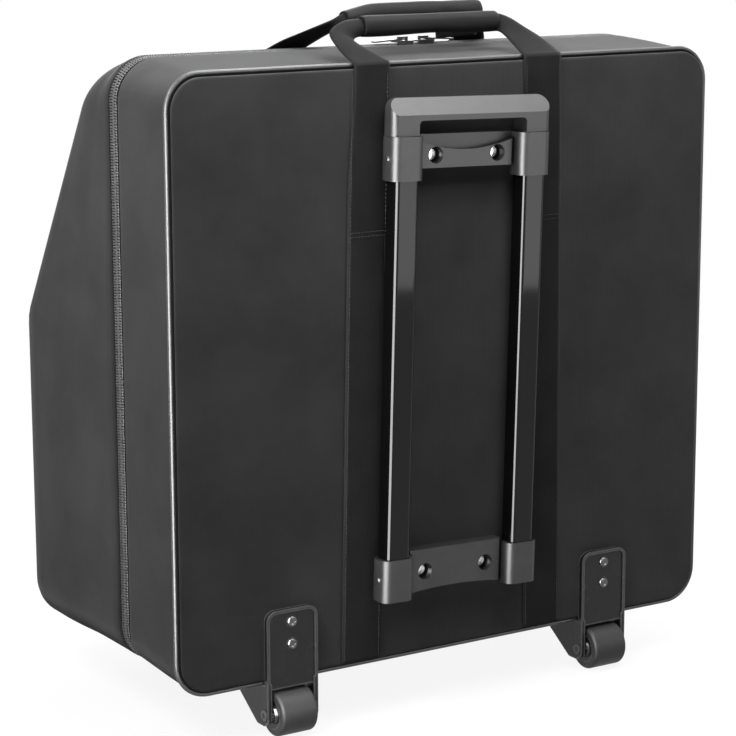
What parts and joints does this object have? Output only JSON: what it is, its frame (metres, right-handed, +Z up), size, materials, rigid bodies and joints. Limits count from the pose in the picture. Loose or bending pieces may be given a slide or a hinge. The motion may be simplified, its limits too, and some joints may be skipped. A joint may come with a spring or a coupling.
{
  "type": "accordion case",
  "caption": "Upright soft trolley case for an accordion: zipped hinged cover with sloping front, carry handles, pull-out handle and wheels.",
  "frame": {"origin": "middle of the whole at floor level", "axes": "+X across the case to the right as seen from the back, +Y towards the sloping front, +Z up"},
  "size_m": [0.5326, 0.2976, 0.5887],
  "materials": {
    "fabric_black": "fine woven nylon over board",
    "piping_black": "soft gloss piping",
    "webbing_black": "ribbed webbing",
    "handle_fabric": "padded smooth fabric",
    "zip_tape": "woven zip tape",
    "zip_coil": "moulded coil",
    "foam_lining": "brushed lining over foam",
    "bracket_plastic": "satin moulded",
    "wheel_plastic": "satin moulded",
    "tube_gloss_black": "gloss enamel",
    "tube_aluminium": "satin anodised",
    "chrome_fastener": "bright plated",
    "plain_steel": "plated",
    "wheel_rubber": "matt rubber",
    "slider_metal": "black enamel"
  },
  "bodies": {
    "rear_tray": {"back_panel": "fabric_black", "rear_gusset": "fabric_black", "rear_piping": "piping_black", "rear_lining": "foam_lining", "rear_zip_tape": "zip_tape", "rear_zip_coil": "zip_coil", "rear_hinge_tape": "webbing_black", "rear_strap_left": "webbing_black", "rear_strap_right": "webbing_black", "trolley_upper_bracket": "bracket_plastic", "trolley_lower_bracket": "bracket_plastic", "trolley_tube_left": "tube_gloss_black", "trolley_tube_right": "tube_gloss_black", "trolley_bracket_screws": "chrome_fastener", "backing_plate_upper": "plain_steel", "backing_plate_lower": "plain_steel", "collar_rivets": "chrome_fastener", "wheel_bracket_left": "wheel_plastic", "wheel_bracket_right": "wheel_plastic", "wheel_rivets": "chrome_fastener", "washer_plates": "plain_steel", "wheel_axle_left": "plain_steel", "wheel_axle_right": "plain_steel"},
    "front_cover": {"cover_gusset": "fabric_black", "cover_front_board": "fabric_black", "cover_piping": "piping_black", "cover_lining": "foam_lining", "cover_zip_tape": "zip_tape", "cover_zip_coil": "zip_coil", "cover_hinge_tape": "webbing_black", "cover_strap_left": "webbing_black", "cover_strap_right": "webbing_black", "foot_left": "bracket_plastic", "foot_right": "bracket_plastic", "foot_pads": "wheel_rubber", "foot_screws": "plain_steel"},
    "trolley_handle": {"trolley_grip": "bracket_plastic", "grip_pins": "chrome_fastener", "inner_tube_left": "tube_aluminium", "inner_tube_right": "tube_aluminium", "inner_tube_glides": "bracket_plastic"},
    "wheel_left": {"wheel_tyre_left": "wheel_rubber", "wheel_core_left": "wheel_plastic", "wheel_caps_left": "chrome_fastener"},
    "wheel_right": {"wheel_tyre_right": "wheel_rubber", "wheel_core_right": "wheel_plastic", "wheel_caps_right": "chrome_fastener"},
    "rear_handle": {"rear_handle_webbing": "webbing_black", "rear_handle_sleeve": "handle_fabric"},
    "cover_handle": {"cover_handle_webbing": "webbing_black", "cover_handle_wrap": "handle_fabric"},
    "slider_left": {"zip_slider_left": "slider_metal"},
    "pull_left": {"zip_pull_left": "slider_metal"},
    "slider_right": {"zip_slider_right": "slider_metal"},
    "pull_right": {"zip_pull_right": "slider_metal"}
  },
  "joints": [
    {"name": "cover_hinge", "type": "hinge", "parent": "rear_tray", "child": "front_cover", "pos_m": [0, -0.02583, 0.0468], "axis": [-1, 0, 0], "range_deg": [0, 110]},
    {"name": "trolley_slide", "type": "slide", "parent": "rear_tray", "child": "trolley_handle", "axis": [0.0279, 0, 0.9996], "range_m": [0, 0.33]},
    {"name": "wheel_left_spin", "type": "hinge", "parent": "rear_tray", "child": "wheel_left", "pos_m": [-0.1625, -0.12283, 0.019], "axis": [1, 0, 0], "continuous": true},
    {"name": "wheel_right_spin", "type": "hinge", "parent": "rear_tray", "child": "wheel_right", "pos_m": [0.1575, -0.12283, 0.019], "axis": [1, 0, 0], "continuous": true},
    {"name": "rear_handle_swing", "type": "hinge", "parent": "rear_tray", "child": "rear_handle", "pos_m": [0, -0.11984, 0.54778], "axis": [1, 0, 0], "range_deg": [-20, 55]},
    {"name": "cover_handle_swing", "type": "hinge", "parent": "front_cover", "child": "cover_handle", "pos_m": [0, 0.00213, 0.54778], "axis": [-1, 0, 0], "range_deg": [-3, 60]},
    {"name": "slider_left_travel", "type": "slide", "parent": "rear_tray", "child": "slider_left", "axis": [-1, 0, 0], "range_m": [0, 0.23]},
    {"name": "slider_right_travel", "type": "slide", "parent": "rear_tray", "child": "slider_right", "axis": [1, 0, 0], "range_m": [0, 0.186]},
    {"name": "pull_left_swing", "type": "hinge", "parent": "slider_left", "child": "pull_left", "pos_m": [0.0115, -0.02583, 0.55715], "axis": [0, 1, 0], "range_deg": [0, 110]},
    {"name": "pull_right_swing", "type": "hinge", "parent": "slider_right", "child": "pull_right", "pos_m": [0.0325, -0.02583, 0.55715], "axis": [0, -1, 0], "range_deg": [0, 110]}
  ]
}
